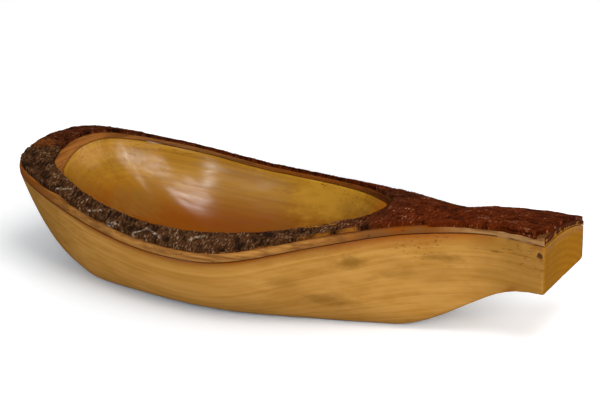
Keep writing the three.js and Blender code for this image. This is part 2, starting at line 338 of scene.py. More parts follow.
@dataclass(frozen=True)
class LogGrain:
    """Growth rings, fibres, pores and smudges of one log, as a shader node group.

    Attributes:
        pith_height: Height of the pith, which lies below the table.
        pith_lean: How far the pith moves aside for each metre of length.
        ring_width: Width of a year's growth.
        ring_power: How narrow the late wood in it is.
        wander: How far the rings wander.
        drift: Pattern of that wandering.
        fine: Fine fibres, laid along the rings.
        coarse: Coarse fibres.
        pores: Open pores.
        patches: Patches of the wood that have pores.
        pore_heights: Where open pores begin, and where they are at their most, above the table.
        clouds: Smudges.
    """

    pith_height: float = -64 * MM
    pith_lean: float = 0.14
    ring_width: float = 5.2 * MM
    ring_power: float = 1.6
    wander: float = 7 * MM
    drift: Cells = Cells((7.0, 26.0, 26.0), 2.0, 0.55)
    fine: Cells = Cells((7.0, 520.0, 1.0), 4.0, 0.62)
    coarse: Cells = Cells((9.0, 130.0, 130.0), 3.0, 0.55)
    pores: Cells = Cells((70.0, 900.0, 900.0), 2.0, 0.5, (0.58, 0.7))
    patches: Cells = Cells((18.0, 60.0, 60.0), 1.0, 0.5, (0.4, 0.58))
    pore_heights: Span = (46 * MM, 64 * MM)
    clouds: Cells = Cells((14.0, 44.0, 44.0), 2.0, 0.45, (0.53, 0.72))

    def group(self) -> NodeTree:
        """Build the group, with one output for each mark in the wood."""
        canvas, source, sink = new_group("log_grain", {"Vector": "Vector"}, {
            "Ring": "Float", "Fibre": "Float", "Pore": "Float", "Smudge": "Float"})
        place = source["Vector"]
        axes = canvas.add("SeparateXYZ", {0: place}).outputs
        aside = canvas.measure("DOT_PRODUCT", place, (self.pith_lean, 1.0, 0.0))
        above = canvas.math("SUBTRACT", axes["Z"], self.pith_height)
        across = canvas.math("MULTIPLY", aside, aside)
        squared = canvas.math("ADD", across, canvas.math("MULTIPLY", above, above))
        radius = canvas.math("SQRT", squared)
        wandering = canvas.math("MULTIPLY_ADD", canvas.noise(place, self.drift), self.wander, radius)
        turns = canvas.math("MULTIPLY", wandering, 2 * math.pi / self.ring_width)
        wave = canvas.math("MULTIPLY_ADD", canvas.math("SINE", turns), 0.5, 0.5)
        canvas.put(sink["Ring"], canvas.math("POWER", wave, self.ring_power))
        layers = canvas.add("CombineXYZ", {"X": axes["X"], "Y": wandering}).outputs[0]
        fibres = canvas.math("ADD", canvas.noise(layers, self.fine), canvas.noise(place, self.coarse))
        canvas.put(sink["Fibre"], canvas.math("MULTIPLY", fibres, 0.5))
        pores = canvas.math("MULTIPLY", canvas.marks(place, self.pores), canvas.marks(place, self.patches))
        canvas.put(sink["Pore"], canvas.math("MULTIPLY", pores, canvas.ease(axes["Z"], *self.pore_heights)))
        canvas.put(sink["Smudge"], canvas.marks(place, self.clouds))
        return canvas.tree


@dataclass(frozen=True)
class StainOrPaintedLight:
    """One soft patch of colour in the wood. Most are stains; some are painted shade and some painted light.

    Attributes:
        centre: Its middle.
        reach: Half its size along each axis.
        depth: How strong it is, from 0 to 1.
        colour: Its colour.
        edge: Pattern of every patch's edge.
        ragged: How ragged that edge is, as a share of the reach.
    """

    centre: Place
    reach: Axes
    depth: float
    colour: Colour = OLIVE
    edge: ClassVar[Cells] = Cells((60.0, 160.0, 160.0), span=(0.1, 1.0))
    ragged: ClassVar[float] = 1.3

    @classmethod
    def group(cls) -> NodeTree:
        """Build the node group that gives a patch's cover at a point."""
        canvas, source, sink = new_group("stain_and_light_patch", {
            "Vector": "Vector", "Centre": "Vector", "Reach": "Vector", "Depth": "Float"}, {"Cover": "Float"})
        away = canvas.add("VectorMath", {0: source["Vector"], 1: source["Centre"]}, operation="SUBTRACT")
        shares = canvas.add("VectorMath", {0: away.outputs[0], 1: source["Reach"]}, operation="DIVIDE")
        inner = canvas.math("SUBTRACT", canvas.measure("LENGTH", shares.outputs[0]), cls.ragged / 2)
        edge = canvas.math("MULTIPLY_ADD", canvas.noise(source["Vector"], cls.edge), cls.ragged, inner)
        cover = canvas.math("SUBTRACT", 1.0, canvas.ease(edge, *cls.edge.span))
        canvas.put(sink["Cover"], canvas.math("MULTIPLY", cover, source["Depth"]))
        return canvas.tree


@dataclass(frozen=True)
class LacqueredWood:
    """Clear gloss lacquer over ochre wood, warmer inside the hollow.

    Attributes:
        pale: Early wood.
        dark: Late wood.
        pore: Open pores.
        hollow_pale: Early wood in the hollow, darker and more orange than outside.
        hollow_dark: Late wood there.
        deep: Painted shade on the hollow's floor and lower near wall, darker and more orange.
        tip: The hollow's end by the handle.
        end_grain: The handle's sawn end.
        end_arc: Late wood there.
        fibres: Fibre values from early wood to late wood.
        fibre_share: How much the fibres show.
        ring_share: How much the rings show.
        arc_share: How much both show on the sawn end.
        sawn_share: How much of the sawn end has its own colour.
        smudge_share: How much the smudges show.
        pore_share: How much the pores show.
        stains_and_painted_light: Stains at places of their own, with patches of painted light and shade
            among them.
        surface: Surface outside the hollow.
        hollow_coat: Weight of the lacquer that the hollow adds.
        brushed: Brush marks in that lacquer.
        brushed_coat: Weight that they add.
    """

    pale: Colour = (0.56, 0.286, 0.068)
    dark: Colour = (0.39, 0.174, 0.024)
    pore: Colour = (0.12, 0.045, 0.01)
    hollow_pale: Colour = (0.42, 0.203, 0.016)
    hollow_dark: Colour = (0.29, 0.121, 0.007)
    deep: Colour = (0.23, 0.057, 0.001)
    tip: Colour = (0.46, 0.085, 0.003)
    end_grain: Colour = (0.43, 0.17, 0.004)
    end_arc: Colour = (0.26, 0.094, 0.002)
    fibres: Span = (0.36, 0.66)
    fibre_share: float = 0.7
    ring_share: float = 0.18
    arc_share: float = 0.3
    sawn_share: float = 0.9
    smudge_share: float = 0.25
    pore_share: float = 0.75
    stains_and_painted_light: tuple[StainOrPaintedLight, ...] = ()
    surface: Surface = Surface(roughness=0.32, varied=0.2, coat=0.05, coat_roughness=0.19, relief=0.2,
                               relief_depth=0.4 * MM)
    hollow_coat: float = 0.25
    brushed: Cells = Cells((30.0, 240.0, 240.0), span=(0.3, 0.7))
    brushed_coat: float = 0.55

    def material(self, grain: NodeTree) -> Material:
        """Build the material.

        Args:
            grain: The log's grain group.

        Returns:
            The finished material.
        """
        material, canvas, shader = new_material("lacquered_wood")
        place = canvas.place()
        marks = canvas.use(grain, {"Vector": place})
        ring, fibre, pore = marks["Ring"], marks["Fibre"], marks["Pore"]
        fibres = canvas.math("MULTIPLY", canvas.ease(fibre, *self.fibres), self.fibre_share)
        late = canvas.math("MULTIPLY_ADD", ring, self.ring_share, fibres)
        outside = canvas.mix(late, self.pale, self.dark)
        inside = canvas.mix(late, self.hollow_pale, self.hollow_dark)
        inside = canvas.mix(canvas.attribute("tip"), inside, self.tip)
        # Painted shade, low in the hollow and towards its near side.
        inside = canvas.mix(canvas.attribute("deep"), inside, self.deep)
        wood = canvas.mix(canvas.attribute("hollow"), outside, inside)
        arcs = canvas.math("MULTIPLY", canvas.math("ADD", ring, fibre), self.arc_share)
        end = canvas.mix(arcs, self.end_grain, self.end_arc)
        wood = canvas.mix(canvas.math("MULTIPLY", canvas.sawn_end(place), self.sawn_share), wood, end)
        wood = canvas.mix(canvas.math("MULTIPLY", marks["Smudge"], self.smudge_share), wood, OLIVE)
        stain_and_light_patch = StainOrPaintedLight.group()
        for patch in self.stains_and_painted_light:
            cover = canvas.use(stain_and_light_patch, {"Vector": place, "Centre": patch.centre, "Reach": patch.reach,
                                            "Depth": patch.depth})
            wood = canvas.mix(cover["Cover"], wood, patch.colour)
        wood = canvas.mix(canvas.math("MULTIPLY", pore, self.pore_share), wood, self.pore)
        self.surface.dress(canvas, shader, wood, fibre, canvas.math("SUBTRACT", fibre, pore))
        brushed = canvas.marks(place, self.brushed)
        hollow_coat = canvas.math("MULTIPLY_ADD", brushed, self.brushed_coat, self.hollow_coat)
        coat = canvas.math("MULTIPLY_ADD", canvas.attribute("gloss"), hollow_coat, self.surface.coat)
        canvas.put(shader.inputs["Coat Weight"], coat)
        return material


@dataclass(frozen=True)
class BastFinish:
    """Sanded bast between the wood and the rough bark.

    Attributes:
        tan: Clean bast.
        tan_fades: Colours that it takes on towards the waist, at the bow's tip and along the handle, where
            the paler, greyer colour is partly a painted sheen.
        brown: Weathered bast, also the colour of the band's painted shade.
        bevel: Darker bast of the bevel round the hollow.
        bevel_fades: Colours that the bevel takes on at the bow, towards the handle and beside it.
        bevel_dark: Dark lines along the bevel.
        dark: Fissures, and the seam below the band.
        sawn: Bast cut across at the handle's end.
        rind: Ragged bark above it there.
        streaks: Brown streaks along the log.
        patches: Brown patches.
        lines: The bevel's dark lines.
        line_share: How much they show.
        cracks: Fissures.
        crack_walls: Noise values from a fissure's edge to its floor.
        band_shade: Values of the band's 'upper' mark at which painted shade on its downward faces begins,
            and where it is full.
        band_shade_share: How strong that painted shade is.
        breaks: Ragged edge of the rind.
        ragged: How ragged that edge is, as a share of the band's height.
        seam: Where the seam below the band begins, and where it is dark.
        surface: Its surface.
    """

    tan: Colour = (0.5, 0.235, 0.055)
    tan_fades: tuple[Fade, ...] = (
        Fade((20 * MM, 110 * MM), (0.24, 0.06, 0.005)),
        Fade((-130 * MM, -195 * MM), (0.24, 0.06, 0.005)),
        # Paler, greyer bast along the handle: partly its own colour, partly a painted sheen.
        Fade((125 * MM, 165 * MM), (0.56, 0.31, 0.12)),
    )
    brown: Colour = (0.19, 0.074, 0.018)
    bevel: Colour = (0.18, 0.064, 0.014)
    bevel_fades: tuple[Fade, ...] = (
        Fade((-145 * MM, -180 * MM), (0.31, 0.112, 0.022)),
        Fade((-110 * MM, -10 * MM), (0.17, 0.043, 0.004)),
        Fade((35 * MM, 75 * MM), (0.07, 0.014, 0.003)),
    )
    bevel_dark: Colour = (0.075, 0.023, 0.005)
    dark: Colour = (0.05, 0.016, 0.005)
    sawn: Colour = (0.37, 0.145, 0.016)
    rind: Colour = (0.07, 0.014, 0.003)
    streaks: Cells = Cells((28.0, 190.0, 300.0), 4.0, 0.6, (0.4, 0.72))
    patches: Cells = Cells((22.0, 40.0, 60.0), 3.0, 0.55, (0.5, 0.75))
    lines: Cells = Cells((16.0, 16.0, 420.0), span=(0.42, 0.62))
    line_share: float = 0.7
    cracks: Cells = Cells((120.0, 420.0, 260.0), span=(0.62, 0.74))
    crack_walls: Span = (0.6, 0.74)
    band_shade: Span = (0.75, 0.3)
    band_shade_share: float = 0.35
    breaks: Cells = Cells((300.0, 170.0, 300.0), 3.0, 0.65, (0.3, 0.5))
    ragged: float = 1.6
    seam: Span = (0.2, 0.04)
    surface: Surface = Surface(coat=0.06, coat_roughness=0.22, relief=0.35)

    def material(self) -> Material:
        """Build the material."""
        material, canvas, shader = new_material("inner_bark")
        place = canvas.place()
        lengthwise = canvas.add("SeparateXYZ", {0: place}).outputs["X"]
        clean, bevel = self.tan, self.bevel
        for fade in self.tan_fades:
            clean = canvas.mix(canvas.ease(lengthwise, *fade.span), clean, fade.colour)
        for fade in self.bevel_fades:
            bevel = canvas.mix(canvas.ease(lengthwise, *fade.span), bevel, fade.colour)
        lines = canvas.math("MULTIPLY", canvas.marks(place, self.lines), self.line_share)
        bevel = canvas.mix(lines, bevel, self.bevel_dark)
        streaks = canvas.noise(place, self.streaks)
        colour = canvas.mix(canvas.ease(streaks, *self.streaks.span), clean, self.brown)
        colour = canvas.mix(canvas.marks(place, self.patches), colour, self.brown)
        colour = canvas.mix(canvas.attribute("bevel"), colour, bevel)
        cracks = canvas.noise(place, self.cracks)
        colour = canvas.mix(canvas.ease(cracks, *self.cracks.span), colour, self.dark)
        upper = canvas.attribute("upper")
        # Painted shade: the band's faces that point down are darker.
        band_shade = canvas.math("MULTIPLY", canvas.ease(upper, *self.band_shade), self.band_shade_share)
        colour = canvas.mix(band_shade, colour, self.brown)
        level = canvas.math("SUBTRACT", upper, self.ragged / 2)
        ragged = canvas.math("MULTIPLY_ADD", canvas.noise(place, self.breaks), self.ragged, level)
        end = canvas.mix(canvas.ease(ragged, *self.breaks.span), self.sawn, self.rind)
        colour = canvas.mix(canvas.sawn_end(place), colour, end)
        colour = canvas.mix(canvas.ease(upper, *self.seam), colour, self.dark)
        height = canvas.math("SUBTRACT", streaks, canvas.ease(cracks, *self.crack_walls))
        self.surface.dress(canvas, shader, colour, streaks, height)
        return material


@dataclass(frozen=True)
class BarkStrokes:
    """Fine slanted strokes and grit of rough bark, as a shader node group.

    Attributes:
        slant: Direction of the strokes from the log's length.
        length: Length of a stroke.
        gap: Distance between strokes.
        span: Noise values from the foot of a stroke to its top.
        grain: Size of the grit.
    """

    slant: float = 76.0
    length: float = 2.9 * MM
    gap: float = 1.0 * MM
    span: Span = (0.48, 0.66)
    grain: float = 2.0 * MM

    def group(self) -> NodeTree:
        """Build the group, with one output for the strokes and one for the grit."""
        canvas, source, sink = new_group("bark_strokes", {"Vector": "Vector"}, {
            "Stroke": "Float", "Grit": "Float"})
        place = source["Vector"]
        turned = canvas.add("Mapping", {"Vector": place, "Rotation": (0, 0, -math.radians(self.slant))})
        strokes = Cells((1 / self.length, 1 / self.gap, 1 / self.length), 2.0, 0.4, self.span)
        canvas.put(sink["Stroke"], canvas.marks(turned.outputs[0], strokes))
        grit = Cells((1 / self.grain, 1 / self.grain, 1 / self.grain), 4.0, 0.65)
        canvas.put(sink["Grit"], canvas.noise(place, grit))
        return canvas.tree


@dataclass(frozen=True)
class BarkColours:
    """Colours of one bark, from its grooves to its highest points.

    Attributes:
        groove: Deep grooves.
        body: Most of the bark.
        ridge: Worn ridges.
        painted_glint: Painted glints, pale specks on the highest points.
    """

    groove: Colour
    body: Colour
    ridge: Colour
    painted_glint: Colour


@dataclass(frozen=True)
class BarkFinish:
    """Rough bark, coloured by the height of its own relief.

    Attributes:
        kind: Which bark it is.
        colours: Its colours.
        turned: Colours that it turns to beside the handle.
        bare: Red under-bark where the rough bark has come off.
        golden: Clean bast where the bark's edge is chipped.
        body_heights: Where a groove ends and the body begins, as shares of the relief.
        ridge_heights: Where the body ends and a worn ridge begins.
        glint_heights: Where the painted glints begin, and where they are at their palest.
        glint_strokes: How strong a stroke is where it starts to carry painted glints, and where it carries
            most.
        grit_height: Height that the grit adds to the relief.
        ridge_grit: Grit values between which a pale ridge shows.
        bare_grit: Grit values between which a bare spot shows.
        chip_grit: Grit values between which a chip shows.
        stroke_bump: Height of a stroke in the bump, for a grit of 1.
        surface: Its surface.
    """

    kind: BarkKind
    colours: BarkColours
    turned: BarkColours
    bare: Colour = (0.26, 0.08, 0.016)
    golden: Colour = (0.3, 0.106, 0.013)
    body_heights: Span = (0.2, 0.5)
    ridge_heights: Span = (0.3, 0.6)
    glint_heights: Span = (0.54, 0.88)
    glint_strokes: Span = (0.5, 0.95)
    grit_height: float = 0.6
    ridge_grit: Span = (0.38, 0.7)
    bare_grit: Span = (0.35, 0.6)
    chip_grit: Span = (0.25, 0.45)
    stroke_bump: float = 1.2
    surface: Surface = Surface(roughness=0.45, varied=0.4, shine=0.02, relief=0.6)

    def layered(self, canvas: NodeCanvas, colours: BarkColours, height: NodeSocket,
                stroke: NodeSocket) -> NodeSocket:
        """Colour the bark by height.

        Args:
            canvas: The material's canvas.
            colours: Colours to use.
            height: Height of the relief, from 0 to 1.
            stroke: Fine strokes, from 0 to 1.

        Returns:
            The colour.
        """
        colour = canvas.mix(canvas.ease(height, *self.body_heights), colours.groove, colours.body)
        worn = canvas.math("MULTIPLY", canvas.ease(height, *self.ridge_heights), stroke)
        colour = canvas.mix(worn, colour, colours.ridge)
        # Painted glints, pale specks on the highest strokes.
        glints = canvas.math("MULTIPLY", canvas.ease(height, *self.glint_heights),
                             canvas.ease(stroke, *self.glint_strokes))
        return canvas.mix(glints, colour, colours.painted_glint)

    def material(self, strokes: NodeTree) -> Material:
        """Build the material.

        Args:
            strokes: The bark's stroke group.

        Returns:
            The finished material.
        """
        material, canvas, shader = new_material(self.kind.value)
        marks = canvas.use(strokes, {"Vector": canvas.place()})
        stroke, grit = marks["Stroke"], marks["Grit"]
        level = canvas.math("SUBTRACT", canvas.attribute("relief"), self.grit_height / 2)
        height = canvas.math("MULTIPLY_ADD", grit, self.grit_height, level)
        first = self.layered(canvas, self.colours, height, stroke)
        second = self.layered(canvas, self.turned, height, stroke)
        colour = canvas.mix(canvas.attribute("turn"), first, second)
        # The long ridge marks take the pale colour of the painted glints too.
        for mark, span, shade in (("ridge", self.ridge_grit, self.colours.painted_glint),
                                  ("bare", self.bare_grit, self.bare),
                                  ("chip", self.chip_grit, self.golden)):
            cover = canvas.math("MULTIPLY", canvas.attribute(mark), canvas.ease(grit, *span))
            colour = canvas.mix(cover, colour, shade)
        bumps = canvas.math("MULTIPLY_ADD", stroke, self.stroke_bump, grit)
        self.surface.dress(canvas, shader, colour, grit, bumps)
        return material


@dataclass(frozen=True)
class KnotFinish:
    """Dark heart of a small branch.

    Attributes:
        heart: Middle of the knot.
        rim: Its paler rings.
        rings: Pattern of the rings.
        surface: Its surface.
    """

    heart: Colour = (0.06, 0.02, 0.007)
    rim: Colour = (0.15, 0.055, 0.015)
    rings: Cells = Cells((900.0, 200.0, 900.0), span=(0.4, 0.65))
    surface: Surface = Surface(varied=0.8, shine=0.1)

    def material(self) -> Material:
        """Build the material."""
        material, canvas, shader = new_material("knot")
        rings = canvas.noise(canvas.place(), self.rings)
        colour = canvas.mix(canvas.ease(rings, *self.rings.span), self.heart, self.rim)
        self.surface.dress(canvas, shader, colour, rings)
        return material


def node_copy(node: str, join_angle: float = 40.0, shape_angle: float = 70.0) -> BMesh:
    """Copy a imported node's mesh, merge its loose triangles and pair them into quads.

    Args:
        node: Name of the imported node.
        join_angle: Greatest angle between two triangles that form one quad.
        shape_angle: Greatest difference of that quad's corners from square.

    Returns:
        The merged mesh.
    """
    mesh = bmesh.new()
    mesh.from_mesh(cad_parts[node].data)
    bmesh.ops.remove_doubles(mesh, verts=mesh.verts, dist=MERGE_GAP)
    bmesh.ops.join_triangles(mesh, faces=mesh.faces, angle_face_threshold=math.radians(join_angle),
                             angle_shape_threshold=math.radians(shape_angle))
    mesh.normal_update()
    log.info("%s: %d corners copied", node, len(mesh.verts))
    return mesh


def finished_piece(mesh: BMesh, name: str, node: str,
                   material: Material) -> Object:
    """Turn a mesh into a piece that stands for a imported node.

    Args:
        mesh: The piece's mesh, which is freed.
        name: Name of the piece.
        node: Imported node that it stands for.
        material: Its finish.

    Returns:
        The piece.
    """
    data = bpy.data.meshes.new(name)
    mesh.to_mesh(data)
    mesh.free()
    data.materials.append(material)
    data.shade_smooth()
    piece = bpy.data.objects.new(name, data)
    bpy.context.scene.collection.objects.link(piece)
    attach(piece, BODY)
    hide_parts(node)
    return piece


def subdivided(piece: Object, levels: int) -> None:
    """Give a piece a live subdivision surface, the same in view and render."""
    surface = piece.modifiers.new("smooth_skin", "SUBSURF")
    surface.levels = levels
    surface.render_levels = levels


def crease_sharp(mesh: BMesh, angle: float, crease: float) -> None:
    """Crease the edges that turn by more than an angle.

    Args:
        mesh: Mesh to crease.
        angle: Least angle.
        crease: Crease from 0 to 1.
    """
    layer = mesh.edges.layers.float.new("crease_edge")
    for edge in mesh.edges:
        if len(edge.link_faces) == 2 and edge.calc_face_angle(0.0) > math.radians(angle):
            edge[layer] = crease


def store(mesh: BMesh, **values: Callable[[BMVert], float]) -> None:
    """Store numbers on each corner of a mesh.

    Args:
        mesh: Mesh to mark.
        values: What gives each number for a corner, by the attribute's name.
    """
    for name, value in values.items():
        layer = mesh.verts.layers.float.new(name)
        for corner in mesh.verts:
            corner[layer] = value(corner)


@dataclass(frozen=True)
class CarvedBody:
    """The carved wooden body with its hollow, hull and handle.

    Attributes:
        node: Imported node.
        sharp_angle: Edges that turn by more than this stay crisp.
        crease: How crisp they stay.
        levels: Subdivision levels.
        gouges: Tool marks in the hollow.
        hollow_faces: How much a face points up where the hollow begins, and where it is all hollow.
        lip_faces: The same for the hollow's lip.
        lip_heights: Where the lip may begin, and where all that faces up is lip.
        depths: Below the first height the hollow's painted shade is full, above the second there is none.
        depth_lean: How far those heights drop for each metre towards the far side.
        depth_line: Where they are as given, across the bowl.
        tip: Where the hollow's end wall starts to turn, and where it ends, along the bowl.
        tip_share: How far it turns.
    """

    node: str = "bowl_body"
    sharp_angle: float = 42.0
    crease: float = 0.8
    levels: int = 2
    gouges: Waves = ((0.16 * MM, 17 * MM),)
    hollow_faces: Span = (0.0, 0.12)
    lip_faces: Span = (0.6, 0.85)
    lip_heights: Span = (42 * MM, 52 * MM)
    depths: Span = (24 * MM, 60 * MM)
    depth_lean: float = 0.4
    depth_line: float = 40 * MM
    tip: Span = (52 * MM, 84 * MM)
    tip_share: float = 0.6

    def build(self, finish: LacqueredWood, grain: NodeTree) -> Object:
        """Build and dress the body.

        Args:
            finish: Lacquered wood.
            grain: The log's grain group.

        Returns:
            The piece.
        """
        mesh = node_copy(self.node)
        crease_sharp(mesh, self.sharp_angle, self.crease)
        store(mesh, hollow=self.inside, deep=self.hollow_shade_share, tip=self.tip_tint, gloss=self.glossed)
        for corner in mesh.verts:
            corner.co += corner.normal * (uneven(corner.co, self.gouges) * self.inside(corner))
        piece = finished_piece(mesh, "carved_body", self.node, finish.material(grain))
        subdivided(piece, self.levels)
        return piece

    def inside(self, corner: BMVert) -> float:
        """Say how much a corner belongs to the hollow, whose wood faces up."""
        return smoothstep(*self.hollow_faces, corner.normal.z)

    def glossed(self, corner: BMVert) -> float:
        """Say how much of the hollow's lacquer a corner keeps, which is worn off the lip."""
        lip = smoothstep(*self.lip_faces, corner.normal.z) * smoothstep(*self.lip_heights, corner.co.z)
        return self.inside(corner) * (1 - lip)

    def hollow_shade_share(self, corner: BMVert) -> float:
        """Say how much painted shade a corner of the hollow gets, more where it lies low or towards the near
        side.
        """
        level = corner.co.z + self.depth_lean * (corner.co.y - self.depth_line)
        return self.inside(corner) * (1 - smoothstep(*self.depths, level))

    def tip_tint(self, corner: BMVert) -> float:
        """Say how close to the hollow's end by the handle a corner lies."""
        return self.tip_share * self.inside(corner) * smoothstep(*self.tip, corner.co.x)


@dataclass(frozen=True)
class BastRing:
    """The ring of bast between wood and rough bark.

    Attributes:
        node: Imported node.
        cuts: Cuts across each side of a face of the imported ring.
        sharp_angle: Edges that turn by more than this stay crisp.
        crease: How crisp they stay.
        levels: Subdivision levels.
        waver: How far the sanded surface wavers.
        waver_size: Size of a waver.
        seat: How far the ring's underside sinks to close its seam with the wood.
        middle: Middle of the hollow.
        bevel_faces: How much a face points to it where the bevel begins, and where it is all bevel.
        top_faces: How much a face points up where the ring's top begins, and where it is all top.
        top_share: How much of the bevel's colour the top has.
        upper_faces: How much a face points up at the foot of the band and at its head.
    """

    node: str = "inner_bark"
    cuts: int = 1
    sharp_angle: float = 50.0
    crease: float = 0.6
    levels: int = 1
    waver: float = 0.28 * MM
    waver_size: float = 9 * MM
    seat: float = 0.1 * MM
    middle: Vector = field(default_factory=lambda: Vector((-48 * MM, 0.0, 0.0)))
    bevel_faces: Span = (0.25, 0.55)
    top_faces: Span = (0.3, 0.8)
    top_share: float = 0.85
    upper_faces: Span = (-0.7, 0.7)

    def build(self, finish: BastFinish) -> Object:
        """Build and dress the ring."""
        mesh = node_copy(self.node)
        bmesh.ops.subdivide_edges(mesh, edges=mesh.edges, cuts=self.cuts, use_grid_fill=True)
        crease_sharp(mesh, self.sharp_angle, self.crease)
        mesh.normal_update()
        store(mesh, bevel=self.bevelled, upper=lambda corner: smoothstep(*self.upper_faces, corner.normal.z))
        for corner in mesh.verts:
            sway = noise.noise(corner.co / self.waver_size)
            seat = self.seat * smoothstep(*UNDERSIDE, -corner.normal.z)
            corner.co += corner.normal * (self.waver * (sway - 1) / 2 + seat)
        piece = finished_piece(mesh, "bast_ring", self.node, finish.material())
        subdivided(piece, self.levels)
        return piece

    def bevelled(self, corner: BMVert) -> float:
        """Say how much a corner belongs to the ring's top or to the bevel that faces the hollow."""
        inward = (self.middle - corner.co).to_2d().normalized()
        bevel = smoothstep(*self.bevel_faces, corner.normal.to_2d().dot(inward))
        return max(self.top_share * smoothstep(*self.top_faces, corner.normal.z), bevel)


@dataclass(frozen=True)
class BareSpot:
    """A place where the rough bark has come off.

    Attributes:
        place: Its middle in plan.
        reach: Half its length along X and Y.
        share: How much of the rough bark is gone.
        ragged: Unevenness of its edge, in shares of the reach.
        edge: Where the edge begins and ends, in shares of the reach.
    """

    place: Plan
    reach: Plan
    share: float
    ragged: Waves = ((0.35, 5 * MM), (0.3, 1.8 * MM))
    edge: Span = (0.6, 1.0)

    def cover(self, point: Vector) -> float:
        """Say how much of a point is bare, with a ragged edge."""
        away = math.hypot((point.x - self.place[0]) / self.reach[0],
                          (point.y - self.place[1]) / self.reach[1])
        return self.share * (1 - smoothstep(*self.edge, away + uneven(point, self.ragged)))


@dataclass(frozen=True)
class BarkStreak:
    """A long narrow mark on the bark: a pale ridge above the strokes, or a chip along the edge.

    Attributes:
        start: One end in plan.
        end: The other end in plan.
        half_width: Half its width.
        core: Share of that width which belongs wholly to it.
        sway: How far its sides sway.
    """

    start: Plan
    end: Plan
    half_width: float = 1.1 * MM
    core: float = 0.4
    sway: Waves = ((0.8 * MM, 4 * MM),)

    def cover(self, point: Vector) -> float:
        """Say how much of a point belongs to the mark, with a ragged edge."""
        dx, dy = self.end[0] - self.start[0], self.end[1] - self.start[1]
        px, py = point.x - self.start[0], point.y - self.start[1]
        share = min(max((px * dx + py * dy) / (dx * dx + dy * dy), 0.0), 1.0)
        away = math.hypot(px - share * dx, py - share * dy) + uneven(point, self.sway)
        return 1 - smoothstep(self.core * self.half_width, self.half_width, away)


